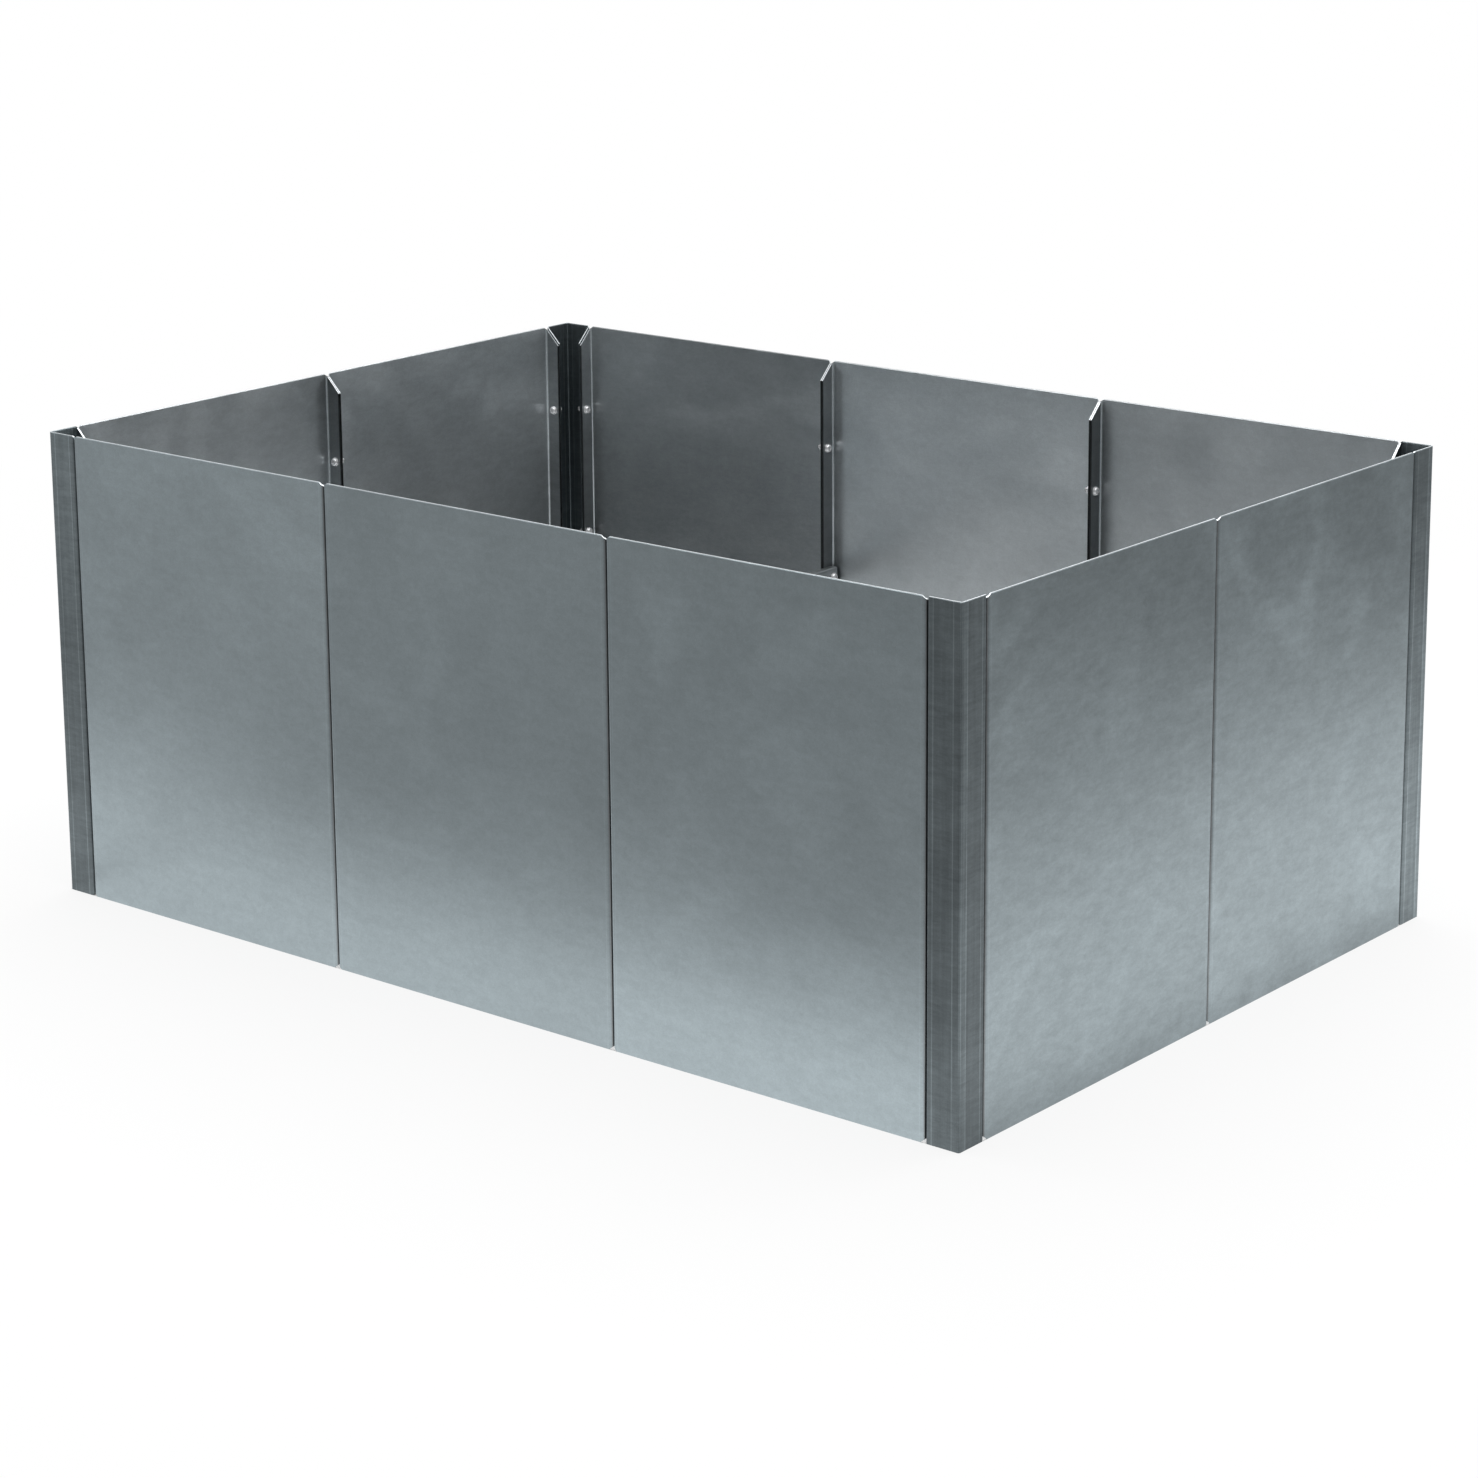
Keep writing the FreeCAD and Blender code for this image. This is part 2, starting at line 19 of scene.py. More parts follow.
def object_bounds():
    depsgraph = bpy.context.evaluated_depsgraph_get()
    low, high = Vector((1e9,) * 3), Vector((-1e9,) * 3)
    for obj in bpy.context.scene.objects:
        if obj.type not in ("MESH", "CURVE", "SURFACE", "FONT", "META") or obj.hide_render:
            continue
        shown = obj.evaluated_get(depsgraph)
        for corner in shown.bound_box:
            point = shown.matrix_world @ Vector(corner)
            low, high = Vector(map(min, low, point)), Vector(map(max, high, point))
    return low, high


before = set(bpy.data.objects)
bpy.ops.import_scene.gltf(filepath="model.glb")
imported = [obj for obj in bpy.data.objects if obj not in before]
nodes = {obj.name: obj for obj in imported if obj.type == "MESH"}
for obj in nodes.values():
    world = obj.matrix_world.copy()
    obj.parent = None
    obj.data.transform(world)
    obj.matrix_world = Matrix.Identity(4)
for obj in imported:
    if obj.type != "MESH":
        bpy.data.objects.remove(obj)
cad_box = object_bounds()
low, high = [Vector(corner) for corner in cad_box]
bed_length, bed_depth, bed_height = high - low
print("bed %.3f x %.3f x %.3f m, %d nodes" % (bed_length, bed_depth, bed_height, len(nodes)))

# %% [markdown]
# ## Small helpers for materials
#
# Every finish below is a tree of shader nodes. Writing the same three lines for each node would bury the idea, so one
# helper makes a node and fills its sockets. A socket gets either a plain value or the output of another node.

# %% Helpers for shader nodes


def new_material(name):
    material = bpy.data.materials.new(name)
    material.use_nodes = True
    return material, material.node_tree, material.node_tree.nodes["Principled BSDF"]


def feed(tree, socket, value):
    """Link another node's output to a socket, or give the socket a plain value."""
    if isinstance(value, bpy.types.NodeSocket):
        tree.links.new(value, socket)
    else:
        socket.default_value = value


def add(tree, kind, settings=None, **sockets):
    """Make a shader node; the keys of sockets are its input names, with _ for a space."""
    node = tree.nodes.new("ShaderNode" + kind)
    for name, value in (settings or {}).items():
        setattr(node, name, value)
    for name, value in sockets.items():
        feed(tree, node.inputs[name.replace("_", " ")], value)
    return node


def object_place(tree, scale=(1.0, 1.0, 1.0), shift=(0.0, 0.0, 0.0)):
    """Object coordinates in metres, stretched and moved for a pattern."""
    place = add(tree, "TexCoord").outputs["Object"]
    return add(tree, "Mapping", Vector=place, Location=shift, Scale=scale).outputs["Vector"]


def noise(tree, vector, scale, detail=2.0, roughness=0.5, distortion=0.0):
    node = add(tree, "TexNoise", Vector=vector, Scale=scale, Detail=detail, Roughness=roughness,
               Distortion=distortion)
    return node.outputs["Fac"]


def shade(tree, colour, factor):
    """Multiply a colour by a factor."""
    node = add(tree, "VectorMath", {"operation": "SCALE"}, Scale=factor)
    feed(tree, node.inputs[0], colour)
    return node.outputs[0]


def blend(tree, first, second, share):
    """Go from the first constant colour to the second one as share goes from 0 to 1."""
    node = add(tree, "VectorMath", {"operation": "MULTIPLY_ADD"})
    difference = [b - a for a, b in zip(first, second)]
    for socket, value in zip(node.inputs, (difference, share, first)):
        feed(tree, socket, value)
    return node.outputs[0]


# %% [markdown]
# ## Sums with shader nodes
#
# A finish is mostly a base colour times many factors near 1, each of which is active in some places only. So the
# helpers that follow do sums on values that differ from point to point: they measure gaps, multiply factors, and turn
# a distance or a pattern into a mask between 0 and 1 that starts and ends smoothly.

# %% Helpers for sums and masks


def arithmetic(tree, operation, first, second=0.0, third=0.0):
    """A Math node, with values or outputs for its operands."""
    node = add(tree, "Math", {"operation": operation})
    for socket, value in zip(node.inputs, (first, second, third)):
        feed(tree, socket, value)
    return node.outputs[0]


def gap(tree, first, second):
    return arithmetic(tree, "ABSOLUTE", arithmetic(tree, "SUBTRACT", first, second))


def opposite(tree, share):
    return arithmetic(tree, "SUBTRACT", 1.0, share)


def product(tree, *factors):
    result = factors[0]
    for factor in factors[1:]:
        result = arithmetic(tree, "MULTIPLY", result, factor)
    return result


def rescale(tree, value, from_low, from_high, to_low, to_high):
    """Stretch a value from one range to another, smoothly and without leaving the new range."""
    node = add(tree, "MapRange", {"interpolation_type": "SMOOTHSTEP"}, Value=value, From_Min=from_low,
               From_Max=from_high, To_Min=to_low, To_Max=to_high)
    return node.outputs["Result"]


def rise(tree, value, start, end):
    """0 up to the start, 1 past the end."""
    return rescale(tree, value, start, end, 0.0, 1.0)


def fall(tree, value, start, end):
    """1 up to the start, 0 past the end."""
    return rescale(tree, value, start, end, 1.0, 0.0)


def between(tree, share, at_none, at_full):
    """Go smoothly from one value to another as share goes from 0 to 1."""
    return rescale(tree, share, 0.0, 1.0, at_none, at_full)


def vary(tree, pattern, least, most):
    """Spread a noise pattern, nearly all of which lies between 0.3 and 0.7, over a range."""
    return rescale(tree, pattern, 0.3, 0.7, least, most)


def toward(tree, value, target, share):
    """Go from a value to a constant target as share goes from 0 to 1."""
    return arithmetic(tree, "MULTIPLY_ADD", share, arithmetic(tree, "SUBTRACT", target, value), value)


# %% [markdown]
# ## Where a point lies on a folded sheet
#
# Some marks of the finish belong to places on a sheet. The shears leave a rounded rim on every cut edge, and the cut
# edges that look up get a painted highlight, as do the hollow sides of the folds; the ends and flanges get painted
# shade.
# Painting such marks by hand would take a map for each sheet. It is enough to know two distances of a point: how far it
# lies from the sheet's end along the wall, and how deep it lies behind the wall's outer face. Both come straight from
# the object coordinates and the imported sheet's own box.

# %% Distances on a sheet
SHEET = 0.0015
INNER_RADIUS = 0.002
FOLD = SHEET + INNER_RADIUS
FLANGE_DEPTH = 0.024
INTO_SHEET = (0.4 * SHEET, 0.8 * SHEET)
LOOKS_UP = (0.45, 0.6)
RIM = 0.0012


def mesh_box(name):
    points = [vertex.co for vertex in nodes[name].data.vertices]
    return [Vector([pick(point[axis] for point in points) for axis in range(3)]) for pick in (min, max)]


def sheet_distances(tree, name):
    """Distance to the panel's nearer end, depth behind the wall's face, and height."""
    box_low, box_high = mesh_box(name)
    point = add(tree, "SeparateXYZ", Vector=object_place(tree))
    along, across = (0, 1) if "front" in name or "back" in name else (1, 0)
    middle = (box_low[along] + box_high[along]) / 2
    half = (box_high[along] - box_low[along]) / 2
    end = arithmetic(tree, "SUBTRACT", half, gap(tree, point.outputs[along], middle))
    face = box_low[across] if "front" in name or "left" in name else box_high[across]
    return end, gap(tree, point.outputs[across], face), point.outputs["Z"]


def cut_edges(tree):
    """1 on the sheared edges that look up, which are a sheet's only faces that do, and 0 elsewhere."""
    normal = add(tree, "SeparateXYZ", Vector=add(tree, "NewGeometry").outputs["True Normal"])
    return rise(tree, normal.outputs["Z"], *LOOKS_UP)


def rim_bump(tree, height, grain, strength, distance):
    """Fine grain, on a surface whose top rim is rounded as shears leave it."""
    rounding = fall(tree, height, bed_height - RIM, bed_height)
    edge = add(tree, "Bump", Strength=1.0, Distance=RIM, Height=rounding)
    return add(tree, "Bump", Strength=strength, Distance=distance, Height=grain,
               Normal=edge.outputs["Normal"]).outputs["Normal"]


print("sheet %.1f mm, flanges %.0f mm deep" % (SHEET * 1000, FLANGE_DEPTH * 1000))

# %% [markdown]
# ## Galvanised sheet
#
# Zinc on sheet steel is a satin metal with a cool grey-green cast. Seen closely it has a fine grain of crystals, and
# from a step away faint clouds and pale wipe marks from handling. It is polished enough that the lower part of a wall
# picks up the bright floor, while the upper part shows the darker room.
#
# It could be one image of metal laid over all the walls, but an image repeats and has a fixed size. Noise textures in
# real metres have neither fault. The mottling is drawn out sideways, because the coil ran that way through the rolls.
#
# Inside the bed the walls mirror each other, and every reflection deepens the cast of the zinc. Photographed walls
# keep the same cast inside and outside, so the inner side gets a more neutral zinc.

# %% Zinc
ZINC = (0.42, 0.487, 0.515)
INNER_ZINC = (0.457, 0.482, 0.495)
CLOUD_CONTRAST = 0.03
GRAIN_CONTRAST = 0.04
CRYSTAL_CONTRAST = 0.02
WORN_CONTRAST = 0.06


def zinc_texture(tree, shift):
    """Clouds, grain, crystals and wipe marks of hot-dipped zinc."""
    place = object_place(tree, shift=shift)
    clouds = noise(tree, place, scale=5.0, detail=4.0, roughness=0.55, distortion=0.8)
    grain = noise(tree, place, scale=700.0, roughness=0.6)
    crystals = add(tree, "TexVoronoi", Vector=place, Scale=160.0).outputs["Color"]
    crystal = add(tree, "SeparateColor", Color=crystals).outputs["Red"]
    wide_place = object_place(tree, (4.0, 4.0, 5.0), shift)
    wipes = rise(tree, noise(tree, wide_place, scale=1.0, detail=3.0, distortion=1.6), 0.42, 0.76)
    return clouds, grain, crystal, wipes


def zinc_tone(tree, shift, texture, wear):
    """How much lighter or darker the texture makes the metal; wear scales the wipe marks and the mottling."""
    clouds, grain, crystal, wipes = texture
    worn = WORN_CONTRAST * wear
    mottle = noise(tree, object_place(tree, (26.0, 26.0, 70.0), shift), scale=1.0, detail=5.0, roughness=0.85)
    return product(tree, vary(tree, clouds, 1.0 - CLOUD_CONTRAST, 1.0 + CLOUD_CONTRAST),
                   vary(tree, grain, 1.0 - GRAIN_CONTRAST, 1.0 + GRAIN_CONTRAST),
                   between(tree, crystal, 1.0 - CRYSTAL_CONTRAST, 1.0 + CRYSTAL_CONTRAST),
                   between(tree, wipes, 1.0, 1.0 + worn),
                   rescale(tree, mottle, 0.2, 0.8, 1.0 - worn, 1.0 + worn))


def coil_place(index, step):
    """The place of the coil that a piece was cut from."""
    return tuple(index * length for length in step)


def finish_metal(tree, surface, colour, roughness, normal, metallic=1.0):
    tree.links.new(colour, surface.inputs["Base Color"])
    tree.links.new(roughness, surface.inputs["Roughness"])
    tree.links.new(normal, surface.inputs["Normal"])
    surface.inputs["Metallic"].default_value = metallic


# %% [markdown]
# ## Marks of the press brake, and painted light and shade
#
# A panel is not one even sheet of metal. Its folds get a painted highlight, and a thin pale line beside each one shows
# where the die pressed. The gap of a seam lets no light in, so painted shade darkens the sheet's ends there, and
# painted shade darkens the free edge of a flange, the flanges and the inner corners too. Each of these marks is a mask
# made from the two distances, times the tone that the mark has.

# %% Marks, painted light and painted shade on a panel
PRESS_LINE = 0.0065
PRESS_WIDTH = 0.0012
PRESS_TONE = 1.08
# Painted highlight along the hollow side of each fold.
FOLD_HIGHLIGHT = 1.3
FOLD_SOFTNESS = 0.0006
FOLD_MIDDLE = (0.0044, 0.0049)
# Painted highlight on the cut edges that look up.
CUT_HIGHLIGHT = 1.7
# Painted shade on the inner side near a panel's ends, in the wall's corners.
CORNER_SHADE_REACH = (0.004, 0.03)
CORNER_SHADE = 0.93
# Painted shade at a sheet's ends, in the gap of the seam.
SEAM_SHADE_REACH = (0.0002, 0.0022)
SEAM_SHADE = 0.5
# Painted shade on the free edge of a flange.
FREE_EDGE_SHADE_REACH = (FLANGE_DEPTH - 0.0022, FLANGE_DEPTH - 0.0008)
FREE_EDGE_SHADE = 0.25
FLANGE_START = (FOLD, FOLD + 0.001)


def press_mark(tree, end, inside):
    """1 on the line beside a fold, on the outer face only."""
    return product(tree, fall(tree, gap(tree, end, PRESS_LINE), 0.0, PRESS_WIDTH), opposite(tree, inside))


def fold_highlight(tree, end, depth):
    """1 along the middle of a fold's inner side, where the painted highlight lies, found by the distance from the axis
    it was folded around.
    """
    squares = [arithmetic(tree, "POWER", arithmetic(tree, "SUBTRACT", distance, FOLD), 2.0)
               for distance in (end, depth)]
    radius = arithmetic(tree, "SQRT", arithmetic(tree, "ADD", *squares))
    return product(tree, fall(tree, radius, INNER_RADIUS, INNER_RADIUS + FOLD_SOFTNESS),
                   fall(tree, arithmetic(tree, "ADD", end, depth), *FOLD_MIDDLE))


def marks_and_painted_shade(tree, end, depth, inside, flange_shading):
    """Painted light and shade on the flanges, painted shade in the inner corners, at the seams and on the free edges,
    and the tone of the press lines, multiplied.
    """
    on_flange = rise(tree, depth, *FLANGE_START)
    corner_shade = product(tree, inside, fall(tree, end, *CORNER_SHADE_REACH))
    return product(tree, between(tree, on_flange, 1.0, flange_shading), between(tree, corner_shade, 1.0, CORNER_SHADE),
                   rescale(tree, end, *SEAM_SHADE_REACH, SEAM_SHADE, 1.0),
                   rescale(tree, depth, *FREE_EDGE_SHADE_REACH, 1.0, FREE_EDGE_SHADE),
                   between(tree, press_mark(tree, end, inside), 1.0, PRESS_TONE))


# %% [markdown]
# ## The ten panels
#
# Each panel was cut from another place of the coil, so each one gets the pattern at a place of its own, and a tone and
# an amount of wear of its own. The tones are pairs, for low down and for the top. Outside, a panel's tone is partly the
# zinc's own and partly painted light and shade, which change towards the top; inside, the pairs are painted light and
# shade, which differ from wall to wall and with height. The flanges get painted shade, and painted light on
# panel_back_1. Panels that the lists leave out get the common values.

# %% Galvanised panels
# Outer tones, low down and at the top: the zinc's own tone with painted light and shade that changes with height.
OUTER_TONES_AND_SHADING = {"panel_front_1": (0.98, 1.25), "panel_front_2": (0.96, 1.06), "panel_front_3": (1.07, 1.03),
               "panel_right_1": (0.9, 0.9), "panel_right_2": (0.92, 1.03)}
# Inner tones, low down and at the top: painted light and shade inside the bed.
INNER_SHADING = {"panel_back_1": (0.54, 1.0), "panel_back_2": (1.02, 1.55), "panel_back_3": (0.93, 1.17),
               "panel_left_1": (1.72, 1.18), "panel_left_2": (1.02, 1.55)}
# Painted shade on the flanges of these panels, and painted light on those of panel_back_1.
FLANGE_SHADING = {"panel_back_1": 1.3, "panel_back_2": 0.52, "panel_back_3": 0.58, "panel_left_2": 0.5}
WEAR = {"panel_right_1": 2.3, "panel_right_2": 2.5, "panel_back_1": 1.7, "panel_left_1": 1.9, "panel_left_2": 2.0}
COMMON_OUTER_TONES_AND_SHADING = (1.0, 1.04)
COMMON_INNER_SHADING = (1.1, 1.3)
# Painted shade on the flanges of the other panels.
COMMON_FLANGE_SHADING = 0.55
COMMON_WEAR = 1.2
OUTER_TONES_FROM = 0.1
PANEL_ROUGHNESS = (0.31, 0.38)
WIPE_ROUGHNESS = 0.05
PANEL_STEP = (1.7, 0.9, 2.3)


def panel_zinc(name, shift):
    """Satin zinc with a panel's own tones, wear, and painted light and shade."""
    material, tree, surface = new_material("zinc_" + name)
    texture = zinc_texture(tree, shift)
    clouds, grain, _, wipes = texture
    end, depth, height = sheet_distances(tree, name)
    inside = rise(tree, depth, *INTO_SHEET)
    edge_highlight = cut_edges(tree)

    # Painted light and shade that changes with height, on the outer and on the inner side.
    outer_tone_and_shading = rescale(tree, height, OUTER_TONES_FROM, bed_height, *OUTER_TONES_AND_SHADING.get(name, COMMON_OUTER_TONES_AND_SHADING))
    inner_shading = rescale(tree, height, bed_height / 2, bed_height, *INNER_SHADING.get(name, COMMON_INNER_SHADING))
    tone = product(tree, between(tree, inside, outer_tone_and_shading, inner_shading),
                   marks_and_painted_shade(tree, end, depth, inside, FLANGE_SHADING.get(name, COMMON_FLANGE_SHADING)))
    # Painted highlights: first along the folds, then on the cut edges that look up.
    tone = toward(tree, toward(tree, tone, FOLD_HIGHLIGHT, fold_highlight(tree, end, depth)), CUT_HIGHLIGHT, edge_highlight)
    factor = product(tree, zinc_tone(tree, shift, texture, WEAR.get(name, COMMON_WEAR)), tone)
    colour = shade(tree, blend(tree, ZINC, INNER_ZINC, arithmetic(tree, "MAXIMUM", inside, edge_highlight)), factor)
    roughness = arithmetic(tree, "ADD", vary(tree, clouds, *PANEL_ROUGHNESS),
                           between(tree, wipes, 0.0, WIPE_ROUGHNESS))
    normal = rim_bump(tree, height, grain, strength=0.06, distance=0.0004)
    finish_metal(tree, surface, colour, roughness, normal)
    return material


def dress(node_name, material):
    """Give a node's slots the material; its mesh stays as packed."""
    for slot in nodes[node_name].material_slots:
        slot.material = material
    print("%-26s %s" % (node_name, material.name))


panel_names = sorted(name for name in nodes if name.startswith("panel_"))
for index, name in enumerate(panel_names):
    dress(name, panel_zinc(name, coil_place(index, PANEL_STEP)))

# %% [markdown]
# ## Corner posts
#
# The posts are folded from another, duller sheet. The edges of the press brake's die have rubbed a thin pale line into
# the zinc on both sides of every fold, the outer corner gets a painted highlight, and beside it one face has a broad
# worn streak. The hollow inside a post never sees the light of the workshop, so it gets painted shade.
#
# The lines run straight along the posts, so they are found from a point's two plan distances to the post's outer
# corner. On each face the larger one says how far the point is from the corner, and the smaller one says whether it
# lies outside or in the hollow. A narrow bump at the right distance makes a line, and a stretched noise breaks it up,
# because a rubbed line is never even.

# %% Marks on a corner post
FOLD_LINES = (0.0105, 0.0365)
LINE_WIDTH = 0.0014
# Painted highlight along the post's outer corner.
CORNER_HIGHLIGHT_REACH = (0.0012, 0.0034)
LINE_TONE = 1.45
SIDE_FACE = (0.0004, 0.0012)
WORN_REACH = (0.009, 0.014)
WORN_TONE = 1.16
# Painted shade in the hollow inside a post.
HOLLOW_SHADE = 0.6
STREAK_CONTRAST = 0.08
BAND_CONTRAST = 0.07


def corner_distances(tree, corner):
    """A point's two plan distances to the post's outer corner, and its height."""
    plan = add(tree, "SeparateXYZ", Vector=object_place(tree, shift=(-corner[0], -corner[1], 0.0)))
    return [arithmetic(tree, "ABSOLUTE", plan.outputs[axis]) for axis in ("X", "Y")], plan.outputs["Z"]


def rubbed_lines_and_corner_highlight(tree, distance, broken):
    """Pale lines along the post on both sides of every fold, and a painted highlight along the outer corner."""
    lines = 0.0
    for line in FOLD_LINES:
        lines = arithmetic(tree, "ADD", lines, fall(tree, gap(tree, distance, line), 0.0, LINE_WIDTH))
    return product(tree, arithmetic(tree, "ADD", lines, fall(tree, distance, *CORNER_HIGHLIGHT_REACH)), broken)


# %% [markdown]
# ## The four posts
#
# Two noises stretched in opposite ways make up the post's own texture: streaks that run along it, from the die, and
# bands that run across it, from the rolls. The bands also roughen the grain. The photographed posts differ a good deal
# in tone, so each one has its own tones here, as the panels do.

# %% Corner posts
POST_TONES = {"corner_post_front_right": (0.43, 0.5), "corner_post_front_left": (0.46, 0.82),
              "corner_post_back_right": (0.72, 0.62), "corner_post_back_left": (0.6, 0.62)}
POST_TONES_FROM = 0.15
# Painted highlight on the post's cut edges that look up.
POST_CUT_HIGHLIGHT = 1.6
POST_WEAR = 2.0
POST_ROUGHNESS = (0.46, 0.54)
LINE_POLISH = 0.08
POST_STEP = (0.6, 1.1, 1.9)


def post_zinc(name, corner, shift, tones):
    """Dull zinc with pressed lines at fixed distances from the post's outer corner."""
    material, tree, surface = new_material("zinc_" + name)
    texture = zinc_texture(tree, shift)
    clouds, grain = texture[:2]
    streaks = noise(tree, object_place(tree, (160.0, 160.0, 5.0), shift), scale=1.0, detail=3.0, roughness=0.6)
    bands = noise(tree, object_place(tree, (30.0, 30.0, 240.0), shift), scale=1.0, detail=3.0, roughness=0.7)

    apart, height = corner_distances(tree, corner)
    distance = arithmetic(tree, "MAXIMUM", *apart)
    depth = arithmetic(tree, "MINIMUM", *apart)
    broken = rescale(tree, streaks, 0.25, 0.6, 0.5, 1.0)
    lines = rubbed_lines_and_corner_highlight(tree, distance, broken)
    worn = product(tree, fall(tree, apart[0], *SIDE_FACE), fall(tree, distance, *WORN_REACH), broken)
    edge_highlight = cut_edges(tree)

    factor = product(tree, zinc_tone(tree, shift, texture, POST_WEAR),
                     vary(tree, streaks, 1.0 - STREAK_CONTRAST, 1.0 + STREAK_CONTRAST),
                     vary(tree, bands, 1.0 - BAND_CONTRAST, 1.0 + BAND_CONTRAST),
                     between(tree, lines, 1.0, LINE_TONE), between(tree, worn, 1.0, WORN_TONE),
                     rescale(tree, depth, *INTO_SHEET, 1.0, HOLLOW_SHADE),
                     rescale(tree, height, POST_TONES_FROM, bed_height, *tones))
    # The cut edges that look up get a neutral zinc with a painted highlight.
    colour = shade(tree, blend(tree, ZINC, INNER_ZINC, edge_highlight), toward(tree, factor, POST_CUT_HIGHLIGHT, edge_highlight))
    roughness = arithmetic(tree, "SUBTRACT", vary(tree, clouds, *POST_ROUGHNESS),
                           arithmetic(tree, "MULTIPLY", lines, LINE_POLISH))
    rough_grain = arithmetic(tree, "ADD", grain, bands)
    normal = rim_bump(tree, height, rough_grain, strength=0.08, distance=0.0005)
    finish_metal(tree, surface, colour, roughness, normal)
    return material


for index, (name, tones) in enumerate(POST_TONES.items()):
    corner = (high.x if "right" in name else low.x, high.y if "back" in name else low.y)
    dress(name, post_zinc(name, corner, coil_place(index, POST_STEP), tones))

# %% [markdown]
# ## Tie bars
#
# The tie bars are channels of the same hot-dipped sheet, a little darker and rougher than the walls. They have no marks
# of their own, so the plain zinc texture does.

# %% Tie bars
TIE_TONE = 0.85
TIE_WEAR = 1.5
TIE_ROUGHNESS = (0.42, 0.49)


def tie_zinc(name, shift):
    material, tree, surface = new_material("zinc_" + name)
    texture = zinc_texture(tree, shift)
    clouds, grain = texture[:2]
    factor = product(tree, zinc_tone(tree, shift, texture, TIE_WEAR), TIE_TONE)
    normal = add(tree, "Bump", Strength=0.06, Distance=0.0004, Height=grain).outputs["Normal"]
    finish_metal(tree, surface, shade(tree, INNER_ZINC, factor), vary(tree, clouds, *TIE_ROUGHNESS), normal)
    return material


tie_names = sorted(name for name in nodes if name.startswith("tie_bar_"))
for index, name in enumerate(tie_names):
    dress(name, tie_zinc(name, (4.1 + index, 7.7, 3.1)))

# %% [markdown]
# ## Fasteners
#
# The bolts, nuts and washers are electroplated: a much brighter and smoother zinc than the hot-dipped sheets, with a
# slight blue cast and faint stains. The bolts are threaded up to the tips that stand out of the nuts.
#
# Forty-two modelled threads would be thousands of faces for something two pixels wide. Ridges in the finish do as
# well: every bolt lies square to its seam, so a point's distance to the nearest seam tells where it is along the bolt,
# and waves a millimetre long in that distance, past the nut, are the thread, with painted shade in its grooves.

# %% Bright fasteners
BRIGHT_ZINC = (0.93, 0.935, 0.945)
BRIGHT_ROUGHNESS = (0.14, 0.26)
BRIGHT_METALLIC = 0.6
STAIN_TONES = (0.88, 1.05)
PANEL_PITCH = 0.44
LONG_SEAMS = (0.5 * PANEL_PITCH, 1.5 * PANEL_PITCH)
SHORT_SEAMS = (0.0, PANEL_PITCH)
NUT_END = 0.0086
THREAD_END = 0.0126
THREAD_FADE = 0.0002
THREAD_PITCH = 0.001
# Painted shade in the grooves of the thread.
GROOVE_SHADE = 0.45


def nearest_seam(tree, place, seams):
    """Distance to the nearest of the seams, which lie at the same places on both sides of the middle."""
    sideways = arithmetic(tree, "ABSOLUTE", place)
    return arithmetic(tree, "MINIMUM", *[gap(tree, sideways, seam) for seam in seams])


def thread(tree, point):
    """Waves between -1 and 1 on the threaded tips, and 0 elsewhere."""
    on_long_wall = arithmetic(tree, "GREATER_THAN", arithmetic(tree, "ABSOLUTE", point.outputs["Y"]),
                              bed_depth / 2 - FLANGE_DEPTH)
    reach = add(tree, "Mix", Factor=on_long_wall, A=nearest_seam(tree, point.outputs["Y"], SHORT_SEAMS),
                B=nearest_seam(tree, point.outputs["X"], LONG_SEAMS)).outputs["Result"]
    wave = arithmetic(tree, "SINE", arithmetic(tree, "MULTIPLY", reach, 2 * math.pi / THREAD_PITCH))
    return product(tree, wave, product(tree, rise(tree, reach, NUT_END, NUT_END + THREAD_FADE),
                                       fall(tree, reach, THREAD_END, THREAD_END + THREAD_FADE)))


def bright_zinc(name):
    material, tree, surface = new_material(name)
    place = object_place(tree)
    stains = noise(tree, place, scale=260.0, detail=3.0, roughness=0.6)
    ridges = thread(tree, add(tree, "SeparateXYZ", Vector=place))
    # Stains, and painted shade in the thread's grooves.
    tone = product(tree, vary(tree, stains, *STAIN_TONES), rescale(tree, ridges, -1.0, 0.5, GROOVE_SHADE, 1.0))
    normal = add(tree, "Bump", Strength=0.8, Distance=0.0003, Height=ridges).outputs["Normal"]
    finish_metal(tree, surface, shade(tree, BRIGHT_ZINC, tone), vary(tree, stains, *BRIGHT_ROUGHNESS), normal,
                 BRIGHT_METALLIC)
    return material


plating = bright_zinc("bright_zinc")
for name in ("bolts_m6x16", "bolts_m6x25", "nuts_m6", "washers_m6"):
    dress(name, plating)

# %% [markdown]
# ## What the metal sees of the floor
#
# The bed stands on a white sheet in a room that gets darker away from it. The walls show that: near the ground they
# mirror the white floor close by, and higher up they mirror the floor further out. A lit floor could do it with real
# lamps alone, but then the picture's background would turn grey as well. So the floor glows a little by itself. To the
# camera it is white all over, and in reflections it fades past the borders of a pool of light around the bed.

# %% The pool of light
FRONT_BORDER = (-0.96, -0.62)
BACK_BORDER = (1.4, 2.0)
SIDE_BORDER = (0.94, 1.62)
BULGE_REACH = (-1.5, -0.35)
BULGE = 0.25
DIM_REACH = (-1.8, -0.5)
DIM_LEVELS = (0.36, 0.25)
# Painted contact shadow in the floor's glow, just beside the bed's ends.
CONTACT_WIDTH = 0.12
CONTACT_SHADE = 0.68


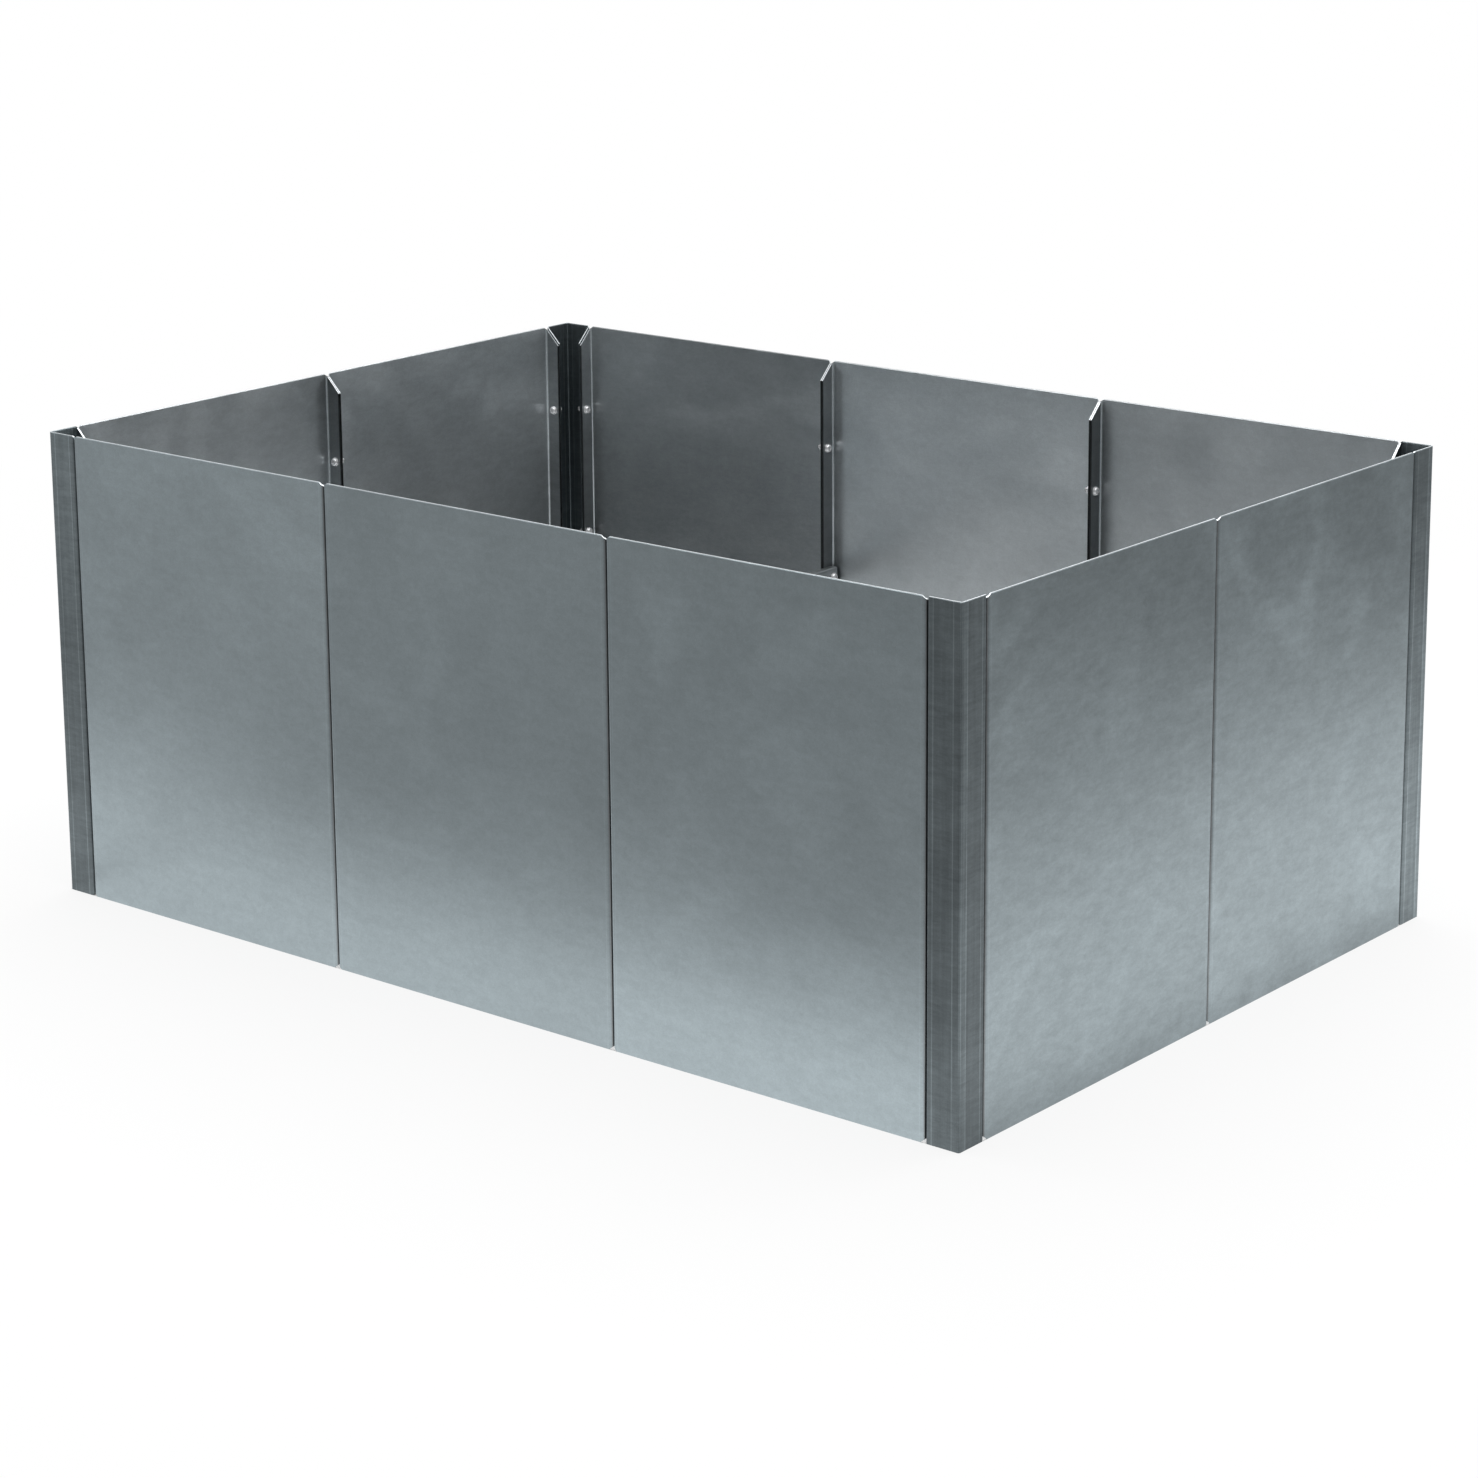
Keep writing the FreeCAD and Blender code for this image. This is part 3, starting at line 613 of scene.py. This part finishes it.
def pool(tree, plan):
    """What polished metal sees of the floor: bright near the bed, dim past an uneven border, and darker in a painted
    shadow just beside the bed's ends.
    """
    bulge = rescale(tree, plan.outputs["X"], *BULGE_REACH, BULGE, 0.0)
    front = rise(tree, arithmetic(tree, "ADD", plan.outputs["Y"], bulge), *FRONT_BORDER)
    back = fall(tree, plan.outputs["Y"], *BACK_BORDER)
    sideways = arithmetic(tree, "ABSOLUTE", plan.outputs["X"])
    near = product(tree, front, back, fall(tree, sideways, *SIDE_BORDER))
    dim = rescale(tree, plan.outputs["X"], *DIM_REACH, *DIM_LEVELS)
    level = arithmetic(tree, "ADD", dim, product(tree, near, opposite(tree, dim)))
    contact_shade = rescale(tree, sideways, bed_length / 2, bed_length / 2 + CONTACT_WIDTH, CONTACT_SHADE, 1.0)
    beside = arithmetic(tree, "GREATER_THAN", sideways, bed_length / 2)
    return product(tree, level, arithmetic(tree, "MAXIMUM", contact_shade, opposite(tree, beside)))


# %% [markdown]
# ## Floor
#
# Under the glow lies an ordinary white floor. It lights the bed from below and keeps the bed's shadow, which shows
# where the glow leaves a little room for it: close to the bed, and most of all inside the bed.

# %% Floor that is white around the bed
FLOOR_REACH = 40.0
FLOOR_GREY = (0.82, 0.82, 0.82, 1.0)
FLOOR_ROUGHNESS = 0.7
BACKGROUND = (1.0, 1.0, 1.0)
INSIDE_GLOW = 0.15
NEAR_GLOW = 0.85
NEAR_GLOW_REACH = (1.2, 3.0)


def seen_directly(tree):
    """Two masks: rays from the camera, from a reflection or through glass; and rays from the camera alone."""
    path = add(tree, "LightPath").outputs
    seen = arithmetic(tree, "MAXIMUM", path["Is Camera Ray"], path["Is Glossy Ray"])
    return arithmetic(tree, "MAXIMUM", seen, path["Is Transmission Ray"]), path["Is Camera Ray"]


def glow_share(tree, plan, place):
    """How much of the floor's look is glow: little inside the bed, more beside it, and all of it far away."""
    apart = [arithmetic(tree, "DIVIDE", arithmetic(tree, "ABSOLUTE", plan.outputs[axis]), half)
             for axis, half in (("X", bed_length / 2), ("Y", bed_depth / 2))]
    outside = arithmetic(tree, "GREATER_THAN", arithmetic(tree, "MAXIMUM", *apart), 1.0)
    away = add(tree, "VectorMath", {"operation": "LENGTH"}, Vector=place).outputs["Value"]
    return product(tree, between(tree, outside, INSIDE_GLOW, 1.0),
                   rescale(tree, away, *NEAR_GLOW_REACH, NEAR_GLOW, 1.0))


def floor_paint():
    material, tree, surface = new_material("white_floor")
    surface.inputs["Base Color"].default_value = FLOOR_GREY
    surface.inputs["Roughness"].default_value = FLOOR_ROUGHNESS
    seen, by_camera = seen_directly(tree)
    place = object_place(tree, (1.0, 1.0, 0.0))
    plan = add(tree, "SeparateXYZ", Vector=place)
    level = arithmetic(tree, "MAXIMUM", pool(tree, plan), by_camera)
    glow = add(tree, "Emission", Color=shade(tree, BACKGROUND, level))
    mixed = add(tree, "MixShader", Fac=product(tree, seen, glow_share(tree, plan, place)))
    tree.links.new(surface.outputs["BSDF"], mixed.inputs[1])
    tree.links.new(glow.outputs["Emission"], mixed.inputs[2])
    tree.links.new(mixed.outputs["Shader"], tree.nodes["Material Output"].inputs["Surface"])
    return material


def make_floor():
    mesh = bpy.data.meshes.new("floor")
    shape = bmesh.new()
    bmesh.ops.create_grid(shape, x_segments=1, y_segments=1, size=FLOOR_REACH)
    shape.to_mesh(mesh)
    shape.free()
    floor = bpy.data.objects.new("floor", mesh)
    bpy.context.scene.collection.objects.link(floor)
    mesh.materials.append(floor_paint())


make_floor()
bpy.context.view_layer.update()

# %% [markdown]
# ## Light
#
# Polished metal looks like what stands around it, so the room matters more than the lamps. Behind the bed the room is
# as white as the background: the cut edges of the sheets, which look up, mirror that and draw a thin white outline.
# In front of the bed the room is dim, and it is bright overhead, where a large soft lamp hangs.

# %% Room and lamp
VIEW_AZIMUTH = math.radians(39.44)
AWAY = Vector((-math.sin(VIEW_AZIMUTH), math.cos(VIEW_AZIMUTH), 0.0))
BACKDROP_REACH = (-0.2, 0.7)
ROOM_LEVEL = 0.19
OVERHEAD_REACH = (0.15, 0.8)
OVERHEAD_LEVEL = 0.9


def light_room():
    """Grey in front of the bed, white behind it and bright overhead; the camera sees white all round."""
    world = bpy.context.scene.world or bpy.data.worlds.new("room")
    bpy.context.scene.world = world
    world.use_nodes = True
    tree = world.node_tree
    by_camera = add(tree, "LightPath").outputs["Is Camera Ray"]
    direction = add(tree, "TexCoord").outputs["Generated"]
    away = add(tree, "VectorMath", {"operation": "DOT_PRODUCT"})
    for socket, value in zip(away.inputs, (direction, AWAY)):
        feed(tree, socket, value)
    upward = add(tree, "SeparateXYZ", Vector=direction).outputs["Z"]
    backdrop = rescale(tree, away.outputs["Value"], *BACKDROP_REACH, ROOM_LEVEL, 1.0)
    overhead = rescale(tree, upward, *OVERHEAD_REACH, 0.0, OVERHEAD_LEVEL)
    level = arithmetic(tree, "MAXIMUM", arithmetic(tree, "MAXIMUM", backdrop, overhead), by_camera)
    background = tree.nodes["Background"]
    tree.links.new(shade(tree, BACKGROUND, level), background.inputs["Color"])
    background.inputs["Strength"].default_value = 1.0
    print("room from %.2f in front of the bed to 1 behind it" % ROOM_LEVEL)


def hang_lamp(name, place, aim, size, power):
    lamp = bpy.data.lights.new(name, "AREA")
    lamp.shape = "SQUARE"
    lamp.size = size
    lamp.energy = power
    hanger = bpy.data.objects.new(name, lamp)
    hanger.location = place
    hanger.rotation_euler = (Vector(aim) - Vector(place)).to_track_quat("-Z", "Y").to_euler()
    bpy.context.scene.collection.objects.link(hanger)
    print("%s at %.1f m, %.0f W" % (name, place[2], power))


light_room()
hang_lamp("soft_overhead", place=(0.0, 0.4, 3.2), aim=(0.0, 0.0, 0.0), size=3.0, power=90.0)

# %% [markdown]
# ## Camera
#
# The picture was taken from above, past the bed's front right corner, from about five metres away with a long lens.
# The camera's place, tilt and lens come from lining up the bed's corners and seams with the photograph. The uprights
# are almost parallel there, so the lens is shifted a little, down towards the bed. A larger shift would match them
# still better, but it would push the bed out of the frame when the camera goes round it.

# %% Camera
CAMERA_PLACE = Vector((2.912, -3.525, 1.561))
CAMERA_TILT = math.radians(12.80)
CAMERA_ROLL = math.radians(-0.44)
FOCAL_LENGTH = 92.41
SENSOR_WIDTH = 36.0
LENS_SHIFT = -0.1617

camera_data = bpy.data.cameras.new("camera")
camera_data.sensor_fit = "HORIZONTAL"
camera_data.sensor_width = SENSOR_WIDTH
camera_data.lens = FOCAL_LENGTH
camera_data.shift_y = LENS_SHIFT
camera = bpy.data.objects.new("camera", camera_data)
turn = (Matrix.Rotation(VIEW_AZIMUTH, 4, "Z") @ Matrix.Rotation(math.pi / 2 - CAMERA_TILT, 4, "X")
        @ Matrix.Rotation(CAMERA_ROLL, 4, "Z"))
camera.matrix_world = Matrix.Translation(CAMERA_PLACE) @ turn
bpy.context.scene.collection.objects.link(camera)
bpy.context.scene.camera = camera
bpy.context.scene.view_settings.view_transform = "Standard"
print("camera %.2f m from the bed's middle" % CAMERA_PLACE.length)
